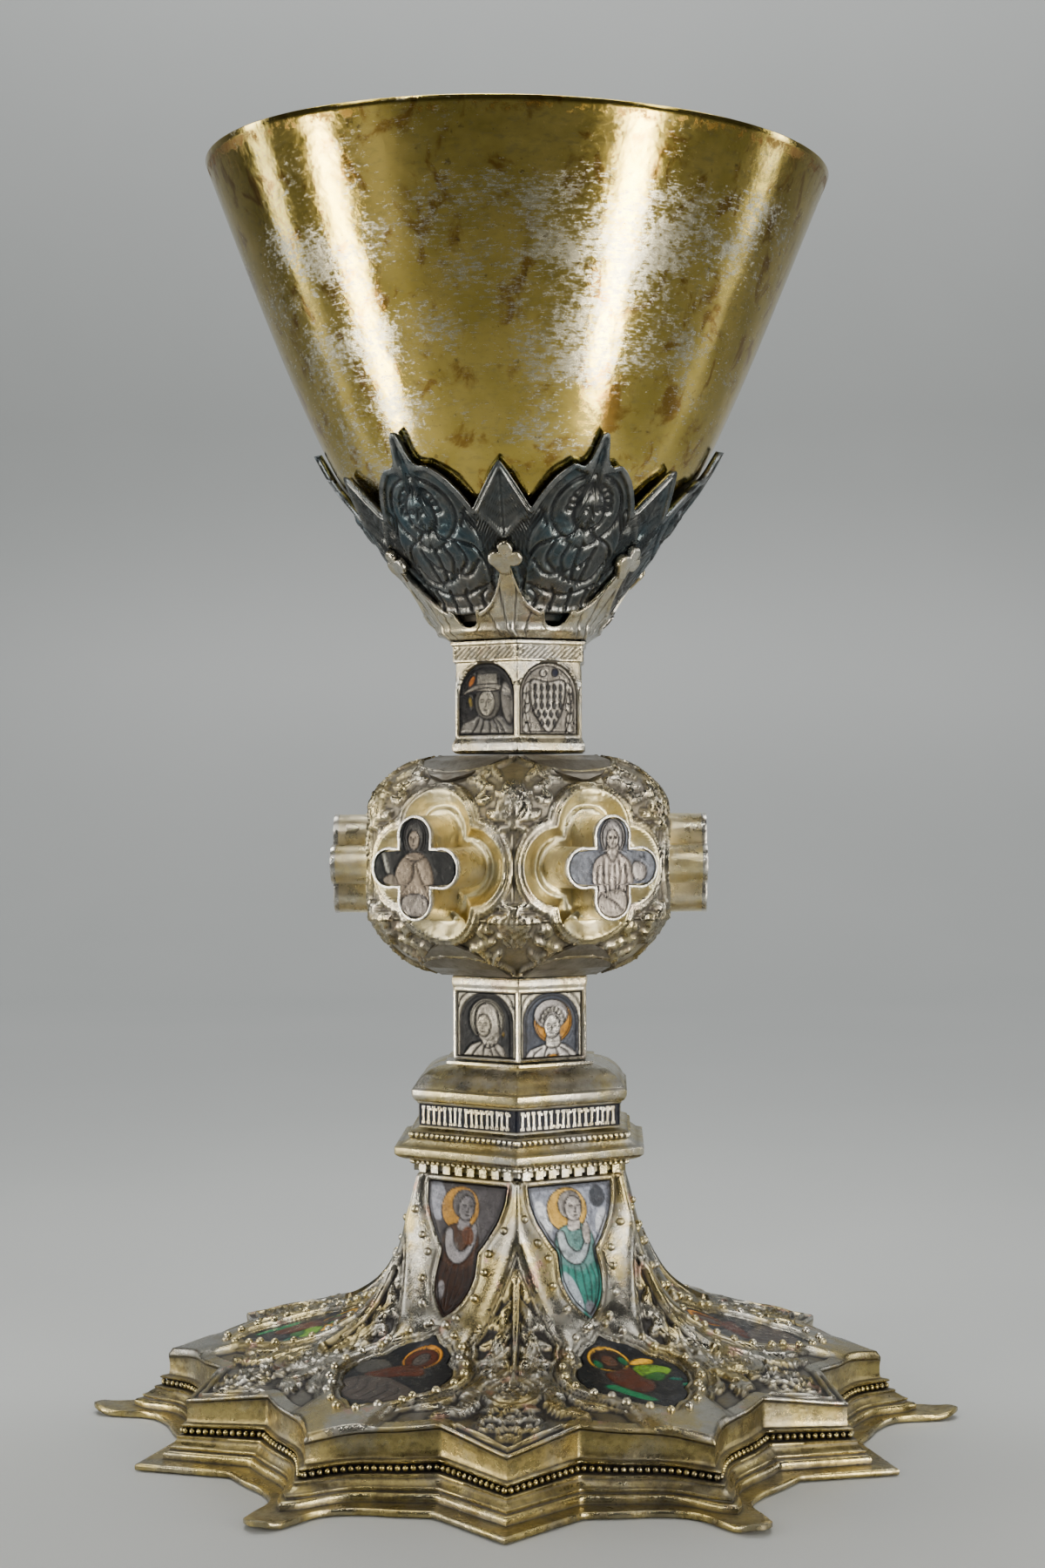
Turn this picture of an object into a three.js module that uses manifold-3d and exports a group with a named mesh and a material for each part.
// A Gothic standing chalice of silver, parcel-gilt: a plain conical cup in a calyx of six
// petals, a hexagonal stem with a pierced cresting, a lobed knot with six bosses, a stepped
// plinth and a spreading six-lobed foot. Millimetres, +Z up, origin on the axis at the
// resting plane. The front faces -Y, where one arris of the stem stands.
import * as THREE from 'three';
import { mergeVertices } from 'three/addons/utils/BufferGeometryUtils.js';
import Module from 'manifold-3d';

// Fits
const fit = 0.3;                  // gap between two neighbouring pieces
const seatDepth = 0.9;            // depth of the seats for the enamel plates
const bedding = 0.4;              // under the curved plates of the foot
const plateThickness = 0.5;       // enamel plates on foot and bosses
const plateGap = 0.15;            // round and behind the plates of stem and bosses

// Heights of the stack
const footTopZ = 43;              // top edge of the foot's neck
const plinthHeight = 18.1;
const lowerStemHeight = 14.5;
const knotHeight = 37;
const upperStemHeight = 19;
const cupReach = 80.4;            // from the upper stem's top to the rim, on the axis
const plinthTopZ = footTopZ + plinthHeight;
const knotBottomZ = plinthTopZ + lowerStemHeight;
const knotTopZ = knotBottomZ + knotHeight;
const upperStemTopZ = knotTopZ + upperStemHeight;
const cupCentreRimZ = upperStemTopZ + cupReach;
const cupBottomZ = upperStemTopZ + 13.6;

// Cup
const cupSegments = 32;
const cupWall = 1.2;
const rimRadius = 53;
const rimDropRight = 1.6;         // degrees, the rim plane falls to the right
const rimDropFront = 2.0;         // degrees, and to the front
const rimSlopeStartZ = cupBottomZ + 19.8;

// Calyx and cresting, turned a little about the axis against the stem
const topTurn = -3.5;             // degrees
const calyxWall = 0.8;
const crestingWall = 0.9;
const finialRadius = 1.35;

// Stem
const upperStemRadius = 12.1;     // across the arrises, half
const lowerStemRadius = 12.7;
const stemFieldMargin = 0.55;     // from the arris to the field, along the face
const stemSeatDepth = 0.6;
const stemPlateThickness = 0.35;

// Knot and bosses
const knotApothem = 25;
const dishLobeCentre = 6.2;
const dishLobeRadius = 6.6;
const dishDepth = 2.2;
const knotMidZ = knotBottomZ + knotHeight / 2 + 0.1;
const bossFaceDistance = 31.8;
const bossLobeCentre = 5.1;
const bossLobeRadius = 3.4;
const bossArmHalf = 3.3;
const bossCollet = 0.5;
const bossRecess = 0.9;

// Foot and its rim
const footWall = 2.0;
const footEdgeThickness = 1.0;
const bandHeight = 0.75;          // raised frames round the enamel fields
const rimWall = 1.3;
const fasciaInset = 6.7;          // from the flange's edge to the upright fascia

const degree = Math.PI / 180;
const faceAngles = [30, 90, 150, 210, 270, 330];
const cornerAngles = [0, 60, 120, 180, 240, 300];

const wasm = await Module();
wasm.setup();

// A point at a distance from the axis, its direction counted from the front towards +X.
function polar(radius, degrees, z) {
  return [radius * Math.sin(degrees * degree), -radius * Math.cos(degrees * degree), z];
}

// A point given across and outwards from the axis, as seen in a direction.
function local(across, out, z, degrees) {
  const s = Math.sin(degrees * degree);
  const c = Math.cos(degrees * degree);
  return [out * s + across * c, -out * c + across * s, z];
}

// Value of a polyline of [key, value] pairs, keys rising.
function along(table, key) {
  let i = 1;
  while (i < table.length - 1 && table[i][0] < key) i += 1;
  const [k0, v0] = table[i - 1];
  const [k1, v1] = table[i];
  return v0 + ((v1 - v0) * (key - k0)) / (k1 - k0);
}

function toGeometry(points, faces) {
  const geometry = new THREE.BufferGeometry();
  geometry.setAttribute('position', new THREE.Float32BufferAttribute(points.flat(), 3));
  geometry.setIndex(faces);
  return geometry;
}

// A body swept through rings of equal count, counter-clockwise as seen from its far end.
// Open stacks are capped with fans; a closed stack is a ring-shaped body.
function ringBody(rings, closed = false) {
  const n = rings[0].length;
  const points = rings.flat();
  const faces = [];
  const spans = closed ? rings.length : rings.length - 1;
  for (let i = 0; i < spans; i += 1) {
    const low = i * n;
    const high = ((i + 1) % rings.length) * n;
    for (let j = 0; j < n; j += 1) {
      const k = (j + 1) % n;
      faces.push(low + j, low + k, high + k, low + j, high + k, high + j);
    }
  }
  if (!closed) {
    const last = (rings.length - 1) * n;
    for (const [start, ring, flip] of [[0, rings[0], true], [last, rings.at(-1), false]]) {
      const centre = [0, 1, 2].map((axis) => ring.reduce((sum, p) => sum + p[axis], 0) / n);
      const middle = points.push(centre) - 1;
      for (let j = 0; j < n; j += 1) {
        const k = (j + 1) % n;
        if (flip) faces.push(middle, start + k, start + j);
        else faces.push(middle, start + j, start + k);
      }
    }
  }
  return toGeometry(points, faces);
}

function solid(geometry) {
  let g = geometry.clone();
  g.deleteAttribute('normal');
  g.deleteAttribute('uv');
  g = mergeVertices(g, 1e-4);
  const vertProperties = new Float32Array(g.attributes.position.array);
  const triVerts = new Uint32Array(g.index.array);
  return new wasm.Manifold(new wasm.Mesh({ numProp: 3, vertProperties, triVerts }));
}

function fromSolid(body) {
  const mesh = body.getMesh();
  const geometry = new THREE.BufferGeometry();
  geometry.setAttribute('position', new THREE.BufferAttribute(mesh.vertProperties, 3));
  geometry.setIndex(new THREE.BufferAttribute(mesh.triVerts, 1));
  return geometry;
}

// A hexagonal body from [arris radius, z] pairs, bottom to top.
function hexBody(profile) {
  return ringBody(profile.map(([radius, z]) => cornerAngles.map((a) => polar(radius, a, z))));
}

// A body of plane outlines [across, z] at rising distances from the axis, on one face.
function facedBody(layers, degrees) {
  return ringBody(layers.map(([out, outline]) =>
    outline.map(([across, z]) => local(across, out, z, degrees))));
}

const finishes = {
  gilt: { color: 0xb39245, roughness: 0.3, metalness: 1 },
  silverGilt: { color: 0x9c9072, roughness: 0.42, metalness: 1 },
  silver: { color: 0x8f8b7f, roughness: 0.4, metalness: 1 },
  oxidised: { color: 0x3f4447, roughness: 0.35, metalness: 1 },
  enamel: { color: 0x4a4b50, roughness: 0.35, metalness: 0.2 },
};
const group = new THREE.Group();

function add(name, geometry, finish) {
  const mesh = new THREE.Mesh(geometry, new THREE.MeshStandardMaterial(finishes[finish]));
  mesh.name = name;
  mesh.geometry.computeVertexNormals();
  group.add(mesh);
  return mesh;
}

// Cup: a plain, slightly swelling cone with a rounded bottom and even wall.
const cupOutside = [
  [9, cupBottomZ], [17, cupBottomZ + 1.7], [23, cupBottomZ + 5.4], [28, cupBottomZ + 11.1], [31.6, cupBottomZ + 16],
  [38, cupBottomZ + 29.5], [44.8, cupBottomZ + 45.8], [rimRadius, cupCentreRimZ - 0.3],
];
function insetProfile(profile, wall) {
  return profile.map(([r, z], i) => {
    const before = profile[Math.max(i - 1, 0)];
    const after = profile[Math.min(i + 1, profile.length - 1)];
    const length = Math.hypot(after[0] - before[0], after[1] - before[1]);
    const alongR = (after[0] - before[0]) / length;
    const alongZ = (after[1] - before[1]) / length;
    return [r - alongZ * wall, z + alongR * wall];
  });
}
function cupRing([radius, z]) {
  const part = Math.max(0, (z - rimSlopeStartZ) / (cupCentreRimZ - rimSlopeStartZ)) ** 1.5;
  const slopeX = -Math.tan(rimDropRight * degree) * part;
  const slopeY = Math.tan(rimDropFront * degree) * part;
  return Array.from({ length: cupSegments }, (unused, i) => {
    const [x, y] = polar(radius, (360 * i) / cupSegments, 0);
    return [x, y, z + slopeX * x + slopeY * y];
  });
}
const cupInside = insetProfile(cupOutside, cupWall).reverse();
cupInside[0] = [rimRadius - cupWall, cupCentreRimZ - 0.3];
const cupLip = [rimRadius - cupWall / 2, cupCentreRimZ];
add('cup', ringBody([...cupOutside, cupLip, ...cupInside].map(cupRing)), 'gilt');

// Calyx: a cone of six pointed petals whose tips stand off the cup, lozenges between them.
const calyxBottomZ = upperStemTopZ + 2.8;
const calyxCone = [           // height, distance from the axis
  [calyxBottomZ, 13.2],
  [calyxBottomZ + 3.8, 16.1],
  [calyxBottomZ + 8.3, 19.85],
  [calyxBottomZ + 13.2, 23.7],
  [calyxBottomZ + 20.6, 28.9],
  [calyxBottomZ + 23.6, 31],
  [calyxBottomZ + 26.6, 33],
  [calyxBottomZ + 29.4, 34.6],
  [calyxBottomZ + 31.1, 35.6],
];
const petalEdge = [           // degrees from the middle of a petal, height of the edge
  [0, calyxBottomZ + 30],
  [1.4, calyxBottomZ + 28.4],
  [3, calyxBottomZ + 25.6],
  [7, calyxBottomZ + 24.3],
  [12.5, calyxBottomZ + 22.2],
  [16, calyxBottomZ + 20.1],
  [19.6, calyxBottomZ + 17.5],
  [24, calyxBottomZ + 20.3],
  [30, calyxBottomZ + 24.4],
];
const petalLift = [-1.2, -0.3, 0.2, -0.1, 0.4, -0.6];   // each tip a little higher or lower
const coneSlant = 1 / Math.cos(36 * degree);
function fanAngles(half) {
  const mirrored = half.slice(1, -1).reverse().map((a) => -a);
  return [...mirrored, ...half];
}
function calyxColumns() {
  const columns = [];
  faceAngles.forEach((face, i) => {
    for (const angle of fanAngles(petalEdge.map(([a]) => a))) {
      const size = Math.abs(angle);
      const lift = size < 8 ? petalLift[i] : 0;
      columns.push([face + angle + topTurn, along(petalEdge, size) + lift]);
    }
  });
  return columns;
}
function calyxRing(part, inset) {
  return calyxColumns().map(([angle, top]) => {
    const z = calyxBottomZ + (top - calyxBottomZ) * part;
    return polar(along(calyxCone, z) - inset * coneSlant, angle, z);
  });
}
add('calyx', ringBody([
  calyxRing(0, 0), calyxRing(0.55, 0), calyxRing(1, 0),
  calyxRing(1, calyxWall), calyxRing(0.55, calyxWall), calyxRing(0, calyxWall),
], true), 'oxidised');

// Cresting: a flared crown round the calyx's root, with a trefoil on each arris.
const crestBottomZ = upperStemTopZ + fit;
const crestFootRadius = 13.2;
const crestEdge = [           // degrees from an arris, height of the edge
  [0, crestBottomZ + 11.9],
  [2, crestBottomZ + 11.3],
  [5, crestBottomZ + 8.1],
  [10, crestBottomZ + 5.6],
  [18, crestBottomZ + 4.2],
  [20.4, crestBottomZ + 4.7],
  [22.4, crestBottomZ + 2.6],
  [30, crestBottomZ + 1.8],
];
function crestRing(level, inset) {
  const ring = [];
  for (const corner of cornerAngles) {
    for (const angle of fanAngles(crestEdge.map(([a]) => a))) {
      const top = along(crestEdge, Math.abs(angle));
      const heights = [crestBottomZ, crestBottomZ + 1.4, top];
      const cone = along(calyxCone, Math.max(heights[level], calyxBottomZ));
      const hexagon = (crestFootRadius * Math.cos(30 * degree))
        / Math.cos((30 - Math.abs(angle)) * degree);
      const flare = 0.35 * hexagon + 0.65 * cone + 1.25;
      const radius = [hexagon, flare, cone + (fit + crestingWall) * coneSlant];
      const turn = level === 0 ? 0 : topTurn;
      ring.push(polar(radius[level] - inset, corner + angle + turn, heights[level]));
    }
  }
  return ring;
}
function finial(corner) {
  const outline = [];
  for (const [cx, cz, from] of [[1.5, 0, -120], [0, 1.75, -30], [-1.5, 0, 60]]) {
    for (const step of [0, 90, 180]) {
      const a = (from + step) * degree;
      outline.push([cx + finialRadius * Math.cos(a), cz + finialRadius * Math.sin(a)]);
    }
  }
  outline.push([-0.8, -3], [0.8, -3]);
  const tilt = 36 * degree;
  const baseZ = calyxBottomZ + 10.2;
  const baseOut = along(calyxCone, baseZ) + fit * coneSlant;
  const layer = (thick) => outline.map(([u, v]) => local(
    u,
    baseOut + v * Math.sin(tilt) + thick * Math.cos(tilt),
    baseZ + v * Math.cos(tilt) - thick * Math.sin(tilt),
    corner + topTurn,
  ));
  return ringBody([layer(0.1), layer(1.3)]);
}
let cresting = solid(ringBody([
  crestRing(0, 0), crestRing(1, 0), crestRing(2, 0),
  crestRing(2, crestingWall * coneSlant), crestRing(1, crestingWall), crestRing(0, crestingWall),
], true));
for (const corner of cornerAngles) cresting = cresting.add(solid(finial(corner)));
add('cresting', fromSolid(cresting), 'silver');

// Stem: two hexagonal lengths with an arched field on each face, each holding a plate.
function archOutline(half, bottom, top, steps = 6) {
  const spring = top - half;
  const outline = [[-half, bottom], [half, bottom]];
  for (let i = 0; i <= steps; i += 1) {
    const a = (Math.PI * i) / steps;
    outline.push([half * Math.cos(a), spring + half * Math.sin(a)]);
  }
  return outline;
}
function rectangle(half, bottom, top) {
  return [[-half, bottom], [half, bottom], [half, top], [-half, top]];
}
function stemPiece(name, plaqueName, profile, radius, fieldBottom, fieldTop, shape) {
  const apothem = radius * Math.cos(30 * degree);
  const half = radius / 2 - stemFieldMargin;
  let body = solid(hexBody(profile));
  faceAngles.forEach((face, i) => {
    const field = shape(half, fieldBottom, fieldTop);
    const pocket = facedBody([[apothem - stemSeatDepth, field], [apothem + 2, field]], face);
    body = body.subtract(solid(pocket));
    const plate = shape(half - plateGap, fieldBottom + plateGap, fieldTop - plateGap);
    const back = apothem - stemSeatDepth + plateGap;
    add(`${plaqueName}_${i + 1}`,
      facedBody([[back, plate], [back + stemPlateThickness, plate]], face), 'enamel');
  });
  add(name, fromSolid(body), 'silverGilt');
}
stemPiece('upper_stem', 'upper_plaque', [
  [12.3, knotTopZ + fit], [12.9, knotTopZ + 0.8], [12.9, knotTopZ + 1.8],
  [12.4, knotTopZ + 2.7], [upperStemRadius, knotTopZ + 3],
  [upperStemRadius, upperStemTopZ - 3.4], [12.7, upperStemTopZ - 3.1],
  [12.7, upperStemTopZ - 0.8], [13.2, upperStemTopZ - 0.5], [13.2, upperStemTopZ],
], upperStemRadius, knotTopZ + 3.3, upperStemTopZ - 3.6, archOutline);
stemPiece('lower_stem', 'lower_plaque', [
  [lowerStemRadius, plinthTopZ + fit], [lowerStemRadius, knotBottomZ - 2.5],
  [12.9, knotBottomZ - 2.2], [13.2, knotBottomZ - 1.2], [13, knotBottomZ - fit],
], lowerStemRadius, plinthTopZ + 0.8, knotBottomZ - 2.8, rectangle);

// Knot: a six-faced cushion with a quatrefoil dish on each face and pointed plates at the
// top and bottom of each face.
const knotProfile = [         // z, distance of the face from the axis
  [knotBottomZ, 12.6], [knotBottomZ + 2.1, 18.2], [knotBottomZ + 5.5, 22.2],
  [knotBottomZ + 9.6, 24.7], [knotBottomZ + 10.8, knotApothem], [knotTopZ - 10.6, knotApothem],
  [knotTopZ - 6.9, 24.4], [knotTopZ - 3.9, 22.2], [knotTopZ - 1.4, 18.2], [knotTopZ, 12.6],
];
const knotRound = 0.965;      // softened arrises, part of the sharp arris radius
const knotBody = ringBody(knotProfile.map(([z, out]) => cornerAngles.flatMap((corner) => [
  polar((out / Math.cos(30 * degree)) * knotRound, corner, z),
  local(-out * 0.42, out, z, corner + 30),
  local(out * 0.42, out, z, corner + 30),
])));
function quatrefoil(centre, radius, steps) {
  const diagonal = centre / Math.SQRT2 + Math.sqrt(radius * radius - (centre * centre) / 2);
  const meet = diagonal / Math.SQRT2;
  const half = Math.atan2(meet, meet - centre) / degree;
  const outline = [];
  for (const turn of [0, 90, 180, 270]) {
    const cx = centre * Math.cos(turn * degree);
    const cz = centre * Math.sin(turn * degree);
    for (let i = 0; i < steps; i += 1) {
      const a = (turn - half + (2 * half * i) / steps) * degree;
      outline.push([cx + radius * Math.cos(a), knotMidZ + cz + radius * Math.sin(a)]);
    }
  }
  return outline;
}
function scaled(outline, factor) {
  return outline.map(([u, z]) => [u * factor, knotMidZ + (z - knotMidZ) * factor]);
}
const dish = quatrefoil(dishLobeCentre, dishLobeRadius, 4);
const frameOuter = quatrefoil(dishLobeCentre, dishLobeRadius + 0.7, 4);
const frameInner = quatrefoil(dishLobeCentre, dishLobeRadius - 0.6, 4);
function onKnot(outline, lift, face) {
  return outline.map(([u, z]) => {
    const out = along(knotProfile, z);
    const side = Math.max(0, Math.abs(u) - out * 0.42) * 0.16;
    return local(u, out - side + lift, z, face);
  });
}
function knotPlate(face, top, grow, low, high) {
  const rows = top
    ? [
      [knotTopZ - 0.4, 6.9], [knotTopZ - 1.3, 7.4], [knotTopZ - 2.4, 6.1],
      [knotTopZ - 3.6, 3.6], [knotTopZ - 4.5, 0.5],
    ]
    : [
      [knotBottomZ + 0.4, 6.9], [knotBottomZ + 1.9, 7.4], [knotBottomZ + 3.6, 6.1],
      [knotBottomZ + 5.2, 3.6], [knotBottomZ + 6.4, 0.5],
    ];
  const skin = (lift) => rows.map(([z, half], i) => {
    const out = along(knotProfile, z);
    const end = i === 0 ? -grow : (i === rows.length - 1 ? grow : 0);
    const wide = half + grow;
    const up = (top ? 1 : -1) * 0.75;
    const point = (u) => local(u, out + lift * 0.66 + end * 0.8, z + lift * up - end * up * 0.6, face);
    return [point(-wide), point(wide)];
  });
  const under = skin(low);
  const over = skin(high);
  const rings = rows.map((unused, i) => {
    const [a, b] = under[i];
    const [c, d] = over[i];
    return [a, b, d, c];
  });
  return ringBody(top ? rings.map(([a, b, d, c]) => [c, d, b, a]).reverse() : rings.reverse());
}
let knot = solid(knotBody);
faceAngles.forEach((face, i) => {
  const ring = ringBody([
    onKnot(frameInner, -0.8, face), onKnot(frameOuter, -0.8, face), onKnot(dish, 0.7, face),
  ], true);
  const bowl = facedBody([
    [knotApothem - dishDepth, scaled(dish, 0.76)], [knotApothem - 0.6, scaled(dish, 0.93)],
    [knotApothem + 3, scaled(dish, 0.97)],
  ], face);
  knot = knot.add(solid(ring));
  knot = knot.subtract(solid(bowl));
  for (const [top, word] of [[true, 'top'], [false, 'bottom']]) {
    knot = knot.subtract(solid(knotPlate(face, top, fit, -0.5, 1.2)));
    add(`knot_leaf_${word}_${i + 1}`, knotPlate(face, top, 0, -0.15, 0.35), 'oxidised');
  }
});
add('knot', fromSolid(knot), 'silverGilt');

// Bosses: crosses with rounded arms, a plate let into the face of each.
function cross(centre, radius, armHalf, steps) {
  const outline = [];
  const half = 180 - Math.asin(armHalf / radius) / degree;
  for (const turn of [0, 90, 180, 270]) {
    const cx = centre * Math.cos(turn * degree);
    const cz = centre * Math.sin(turn * degree);
    for (let i = 0; i <= steps; i += 1) {
      const a = (turn - half + (2 * half * i) / steps) * degree;
      outline.push([cx + radius * Math.cos(a), knotMidZ + cz + radius * Math.sin(a)]);
    }
    const corner = (turn + 45) * degree;
    const reach = armHalf * Math.SQRT2;
    outline.push([reach * Math.cos(corner), knotMidZ + reach * Math.sin(corner)]);
  }
  return outline;
}
const bossRoot = knotApothem - dishDepth + fit;
const bossOuter = cross(bossLobeCentre, bossLobeRadius, bossArmHalf, 3);
const bossInner = cross(bossLobeCentre, bossLobeRadius - bossCollet, bossArmHalf - bossCollet, 3);
const bossPlate = cross(bossLobeCentre, bossLobeRadius - bossCollet - plateGap,
  bossArmHalf - bossCollet - plateGap, 3);
faceAngles.forEach((face, i) => {
  const floor = bossFaceDistance - bossRecess;
  add(`boss_${i + 1}`, facedBody([
    [bossRoot, bossOuter], [bossFaceDistance, bossOuter], [bossFaceDistance, bossInner],
    [floor, bossInner],
  ], face), 'gilt');
  add(`boss_plate_${i + 1}`, facedBody([
    [floor + fit, bossPlate], [floor + fit + plateThickness, bossPlate],
  ], face), 'enamel');
});

// Plinth: stepped and moulded, with the frieze band between two bead mouldings.
add('plinth', hexBody([
  [18.6, footTopZ + fit], [19.8, footTopZ + fit], [19.8, footTopZ + 1.2], [20.9, footTopZ + 1.5],
  [20.9, footTopZ + 2.1], [23.4, footTopZ + 2.7], [24, footTopZ + 3.2], [24, footTopZ + 4.3],
  [22.9, footTopZ + 4.9], [21.4, footTopZ + 5.7], [21.4, footTopZ + 6.7], [19.9, footTopZ + 7.2],
  [19.3, footTopZ + 7.75], [19.3, plinthTopZ - 6.8], [20.2, plinthTopZ - 6.4],
  [20.8, plinthTopZ - 5.1], [20.8, plinthTopZ - 4.4], [20, plinthTopZ - 3.5],
  [18.2, plinthTopZ - 1.8], [16.4, plinthTopZ - 0.9], [14.6, plinthTopZ - 0.5],
  [14.4, plinthTopZ],
]), 'silverGilt');

// Foot: a hexagonal trumpet spreading into six pointed lobes and six square corners.
const footCurve = [           // distance from the axis, height
  [16.5, footTopZ], [17.3, 39], [18.7, 33], [19.6, 30], [20.8, 27], [22.3, 24],
  [24.3, 20.8], [27, 18.3], [31, 16.2], [36, 14.8], [42, 13.6], [50, 12.2], [58, 10.4],
  [61, 9.9], [66, 9.1],
];
function roundness(rho) {
  const t = Math.min(1, Math.max(0, (rho - 24) / 24));
  return t * t * (3 - 2 * t);
}
function footOut(rho, across) {
  const w = roundness(rho);
  return (1 - w) * rho + w * Math.sqrt(Math.max(0, rho * rho - across * across));
}
function footHeight(across, out) {
  let low = 14;
  let high = 80;
  for (let i = 0; i < 40; i += 1) {
    const mid = (low + high) / 2;
    if (footOut(mid, Math.abs(across)) < out) low = mid;
    else high = mid;
  }
  return along(footCurve, low);
}
function cornerAcross(rho) {
  let across = rho * Math.tan(30 * degree);
  for (let i = 0; i < 30; i += 1) across = footOut(rho, across) * Math.tan(30 * degree);
  return across;
}
// Half of one sixth of the plan, from the lobe's tip to the square corner's tip, across
// and outwards as seen in the lobe's direction: the top edge, and the flange's edge.
const cornerTip = (radius) => [radius * Math.sin(30 * degree), radius * Math.cos(30 * degree)];
const topEdge = [[0, 61], [3.6, 56.8], [8, 54], [11.8, 52.3], [16.4, 49.2], cornerTip(60.4)];
const flangeEdge = [[0, 74], [3.4, 69.5], [5, 62.8], [11.5, 58.3], [19.2, 55.2], cornerTip(69)];
const lowerStart = 38;        // below this row the grid reaches out for the lobed edge
const fieldEnd = 49.6;        // the last row of the lower field
const footRows = [            // distance, half-width of the field, of its frame, field sunk?
  [16.5, 7.9, 8.7, 0], [16.62, 7.9, 8.7, 0], [16.74, 7.8, 8.7, 1], [17.5, 7.2, 9.1, 1],
  [18.6, 4.9, 8.4, 1], [19.2, 3.6, 7.4, 1], [20.9, 3.8, 7.8, 1], [22.6, 2.5, 6.8, 1],
  [23.8, 0.7, 5.2, 1], [24.3, 0.7, 4.6, 0], [26, 1.2, 5.4, 0], [26.5, 1.3, 6.2, 1],
  [30, 6.2, 10.2, 1], [37, 9, 13.1, 1], [43.5, 7.2, 11.3, 1], [49, 1.1, 5.8, 1], [fieldEnd, 1, 4.8, 0],
  [53, 1, 4.8, -1], [61, 1, 4.8, -1],
];
function footColumns([rho, field, frame]) {
  const start = Math.min(rho, lowerStart);
  const corner = cornerAcross(start);
  const reach = Math.max(0, (rho - lowerStart) / (61 - lowerStart));
  const inner = Math.min(rho, fieldEnd);
  const past = Math.max(0, (rho - fieldEnd) / (61 - fieldEnd));
  const across = [0, field, (field + frame) / 2, frame, (frame + corner) / 2, corner];
  return across.map((u, c) => {
    const [endAcross, endOut] = topEdge[c];
    if (c < 4) {
      const out = footOut(inner, u);
      return [u + (endAcross - u) * past, out + (endOut - out) * past];
    }
    const startOut = footOut(start, Math.min(u, corner));
    const out = startOut + (endOut - startOut) * reach;
    return [c === 5 ? out * Math.tan(30 * degree) : u + (endAcross - u) * reach, out];
  });
}
function footNormal(across, out) {
  const step = 0.05;
  const high = footHeight(across, out);
  const slopeOut = (footHeight(across, out + step) - high) / step;
  const slopeAcross = (footHeight(across + step, out) - high) / step;
  const length = Math.hypot(slopeOut, slopeAcross, 1);
  return [-slopeAcross / length, -slopeOut / length, 1 / length];
}
function lifted(across, out, height, lift) {
  const [nu, no, nz] = footNormal(across, out);
  return [across + nu * lift, out + no * lift, height + nz * lift];
}
function footRing(row, layer) {
  const half = footColumns(row).map(([u, out], c) => {
    const height = footHeight(u, out);
    const edge = row[0] === 61;
    if (layer === 'inside') {
      if (edge) return [u * 0.985, out * 0.985, height - footEdgeThickness];
      const point = lifted(u, out, height, -footWall);
      return [(u * point[1]) / out, point[1], row[0] === 16.5 ? height : point[2]];
    }
    let lift = 0;
    if (!edge && row[0] > 16.5) {
      const sunk = row[3];
      if (c <= 1) lift = sunk === 1 ? -seatDepth : (sunk === 0 ? bandHeight : 0);
      if (c === 2) lift = sunk === -1 ? 0 : bandHeight;
      if (row[0] < 16.7 && c <= 2) lift = 0;
    }
    const point = lifted(u, out, height, lift);
    return c === 5 ? [point[1] * Math.tan(30 * degree), point[1], point[2]] : point;
  });
  const ring = [];
  for (const face of faceAngles) {
    for (const [u, out, z] of half.slice(1, -1).reverse()) ring.push(local(-u, out, z, face));
    for (const [u, out, z] of half) ring.push(local(u, out, z, face));
  }
  return ring;
}
const insideRows = footRows.filter(([rho]) => [16.5, 19.2, 20.9, 23.8, 30, 37, 43.5, 61].includes(rho));
add('foot', ringBody([
  ...[...footRows].reverse().map((row) => footRing(row, 'outside')),
  ...insideRows.map((row) => footRing(row, 'inside')),
], true), 'silverGilt');

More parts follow.
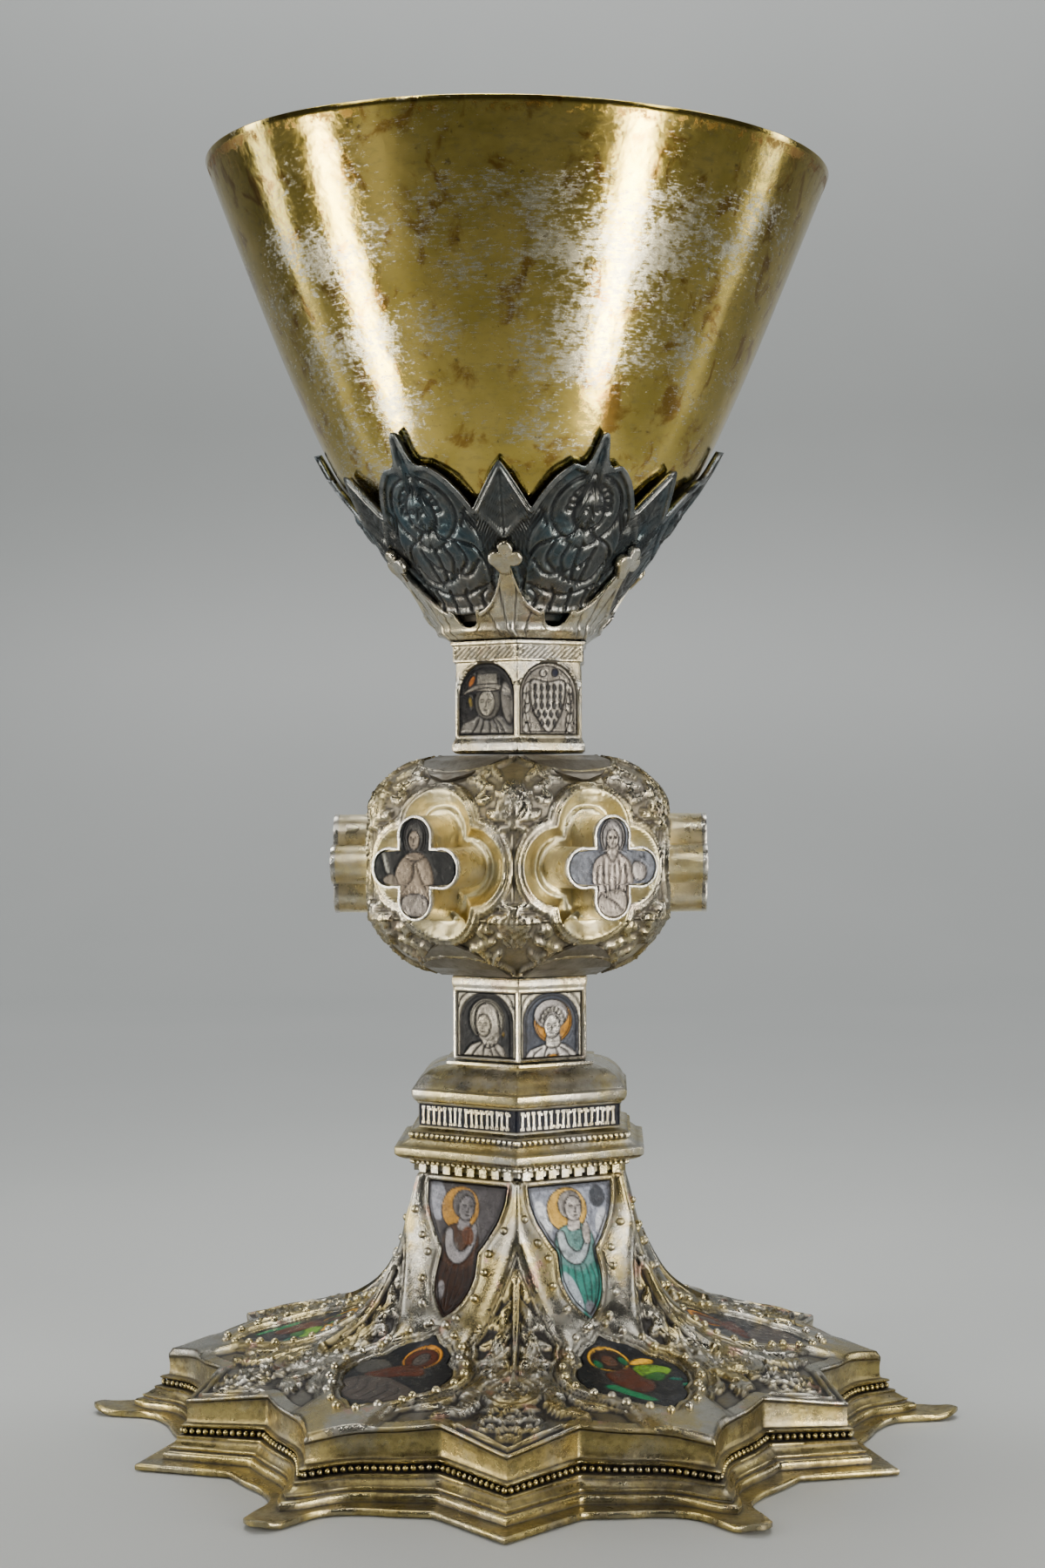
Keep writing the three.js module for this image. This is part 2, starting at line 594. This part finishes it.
// Plates of the foot: spear-shaped on the neck, long quatrefoils on the lobes.
const fieldWidths = footRows.map(([rho, field]) => [rho, field]);
function footPlate(face, first, last) {
  const rows = footRows.filter(([rho, , , sunk]) => sunk === 1 && rho >= first && rho <= last);
  const rings = rows.map((row, i) => {
    const columns = footColumns(row);
    const [centre, edge] = [columns[0], columns[1]];
    const inset = i === 0 ? fit * 1.3 : (i === rows.length - 1 ? -fit * 1.6 : 0);
    const half = Math.min(edge[0], along(fieldWidths, row[0] + inset)) - fit;
    const skin = (u, base, lift) => {
      const out = base + inset;
      const [a, b, c] = lifted(u, out, footHeight(u, out), lift);
      return local(a, b, c, face);
    };
    const under = -seatDepth + bedding;
    const over = under + plateThickness;
    return [
      skin(half, edge[1], under), skin(half, edge[1], over), skin(0, centre[1], over),
      skin(-half, edge[1], over), skin(-half, edge[1], under), skin(0, centre[1], under),
    ];
  });
  return ringBody(rings);
}
faceAngles.forEach((face, i) => {
  add(`spear_plaque_${i + 1}`, footPlate(face, 16.7, 23.9), 'enamel');
  add(`medallion_${i + 1}`, footPlate(face, 26.4, 49.1), 'enamel');
});

// Foot rim: flange, stepped mouldings, bead strip and upright fascia round the lobed plan.
const rimProfile = [          // inset from the flange's edge, z at the tips, z at the inner corners
  [0, 0, 0], [0, 1, 1], [4.0, 1.1, 1.1], [4.2, 2.3, 2.3], [5.2, 2.6, 2.8],
  [5.5, 3.8, 4.2], [6.3, 4.4, 5.1], [5.6, 5.1, 5.9], [6.3, 5.8, 6.6], [fasciaInset, 6.3, 7.1],
  [fasciaInset, 9.9, 12.1],
];
const drop = [0, 0.3, 0.54, 0.65, 0.83, 0];   // how much of an inner corner's height each column takes
function rimRing(inset, tipZ, innerZ, deeper = 0) {
  const part = inset / fasciaInset;
  const half = flangeEdge.map(([u, out], c) => {
    const [topU, topOut] = topEdge[c];
    const point = [u + (topU - u) * part, out + (topOut - out) * part];
    return [point[0], point[1], tipZ + (innerZ - tipZ) * drop[c] - deeper];
  });
  const ring = [];
  for (const face of faceAngles) {
    for (const [u, out, z] of half.slice(1, -1).reverse()) ring.push(local(-u, out, z, face));
    for (const [u, out, z] of half) ring.push(local(u, out, z, face));
  }
  return ring;
}
const underFoot = footEdgeThickness + fit;
const outerRim = rimProfile.map(([inset, tip, inner], i) =>
  rimRing(inset, tip, inner, i === rimProfile.length - 1 ? underFoot : 0));
add('foot_rim', ringBody([
  ...outerRim,
  rimRing(fasciaInset + rimWall, 9.9, 12.1, underFoot + 0.2), rimRing(fasciaInset + rimWall, 0, 0),
], true), 'silverGilt');

export default group;
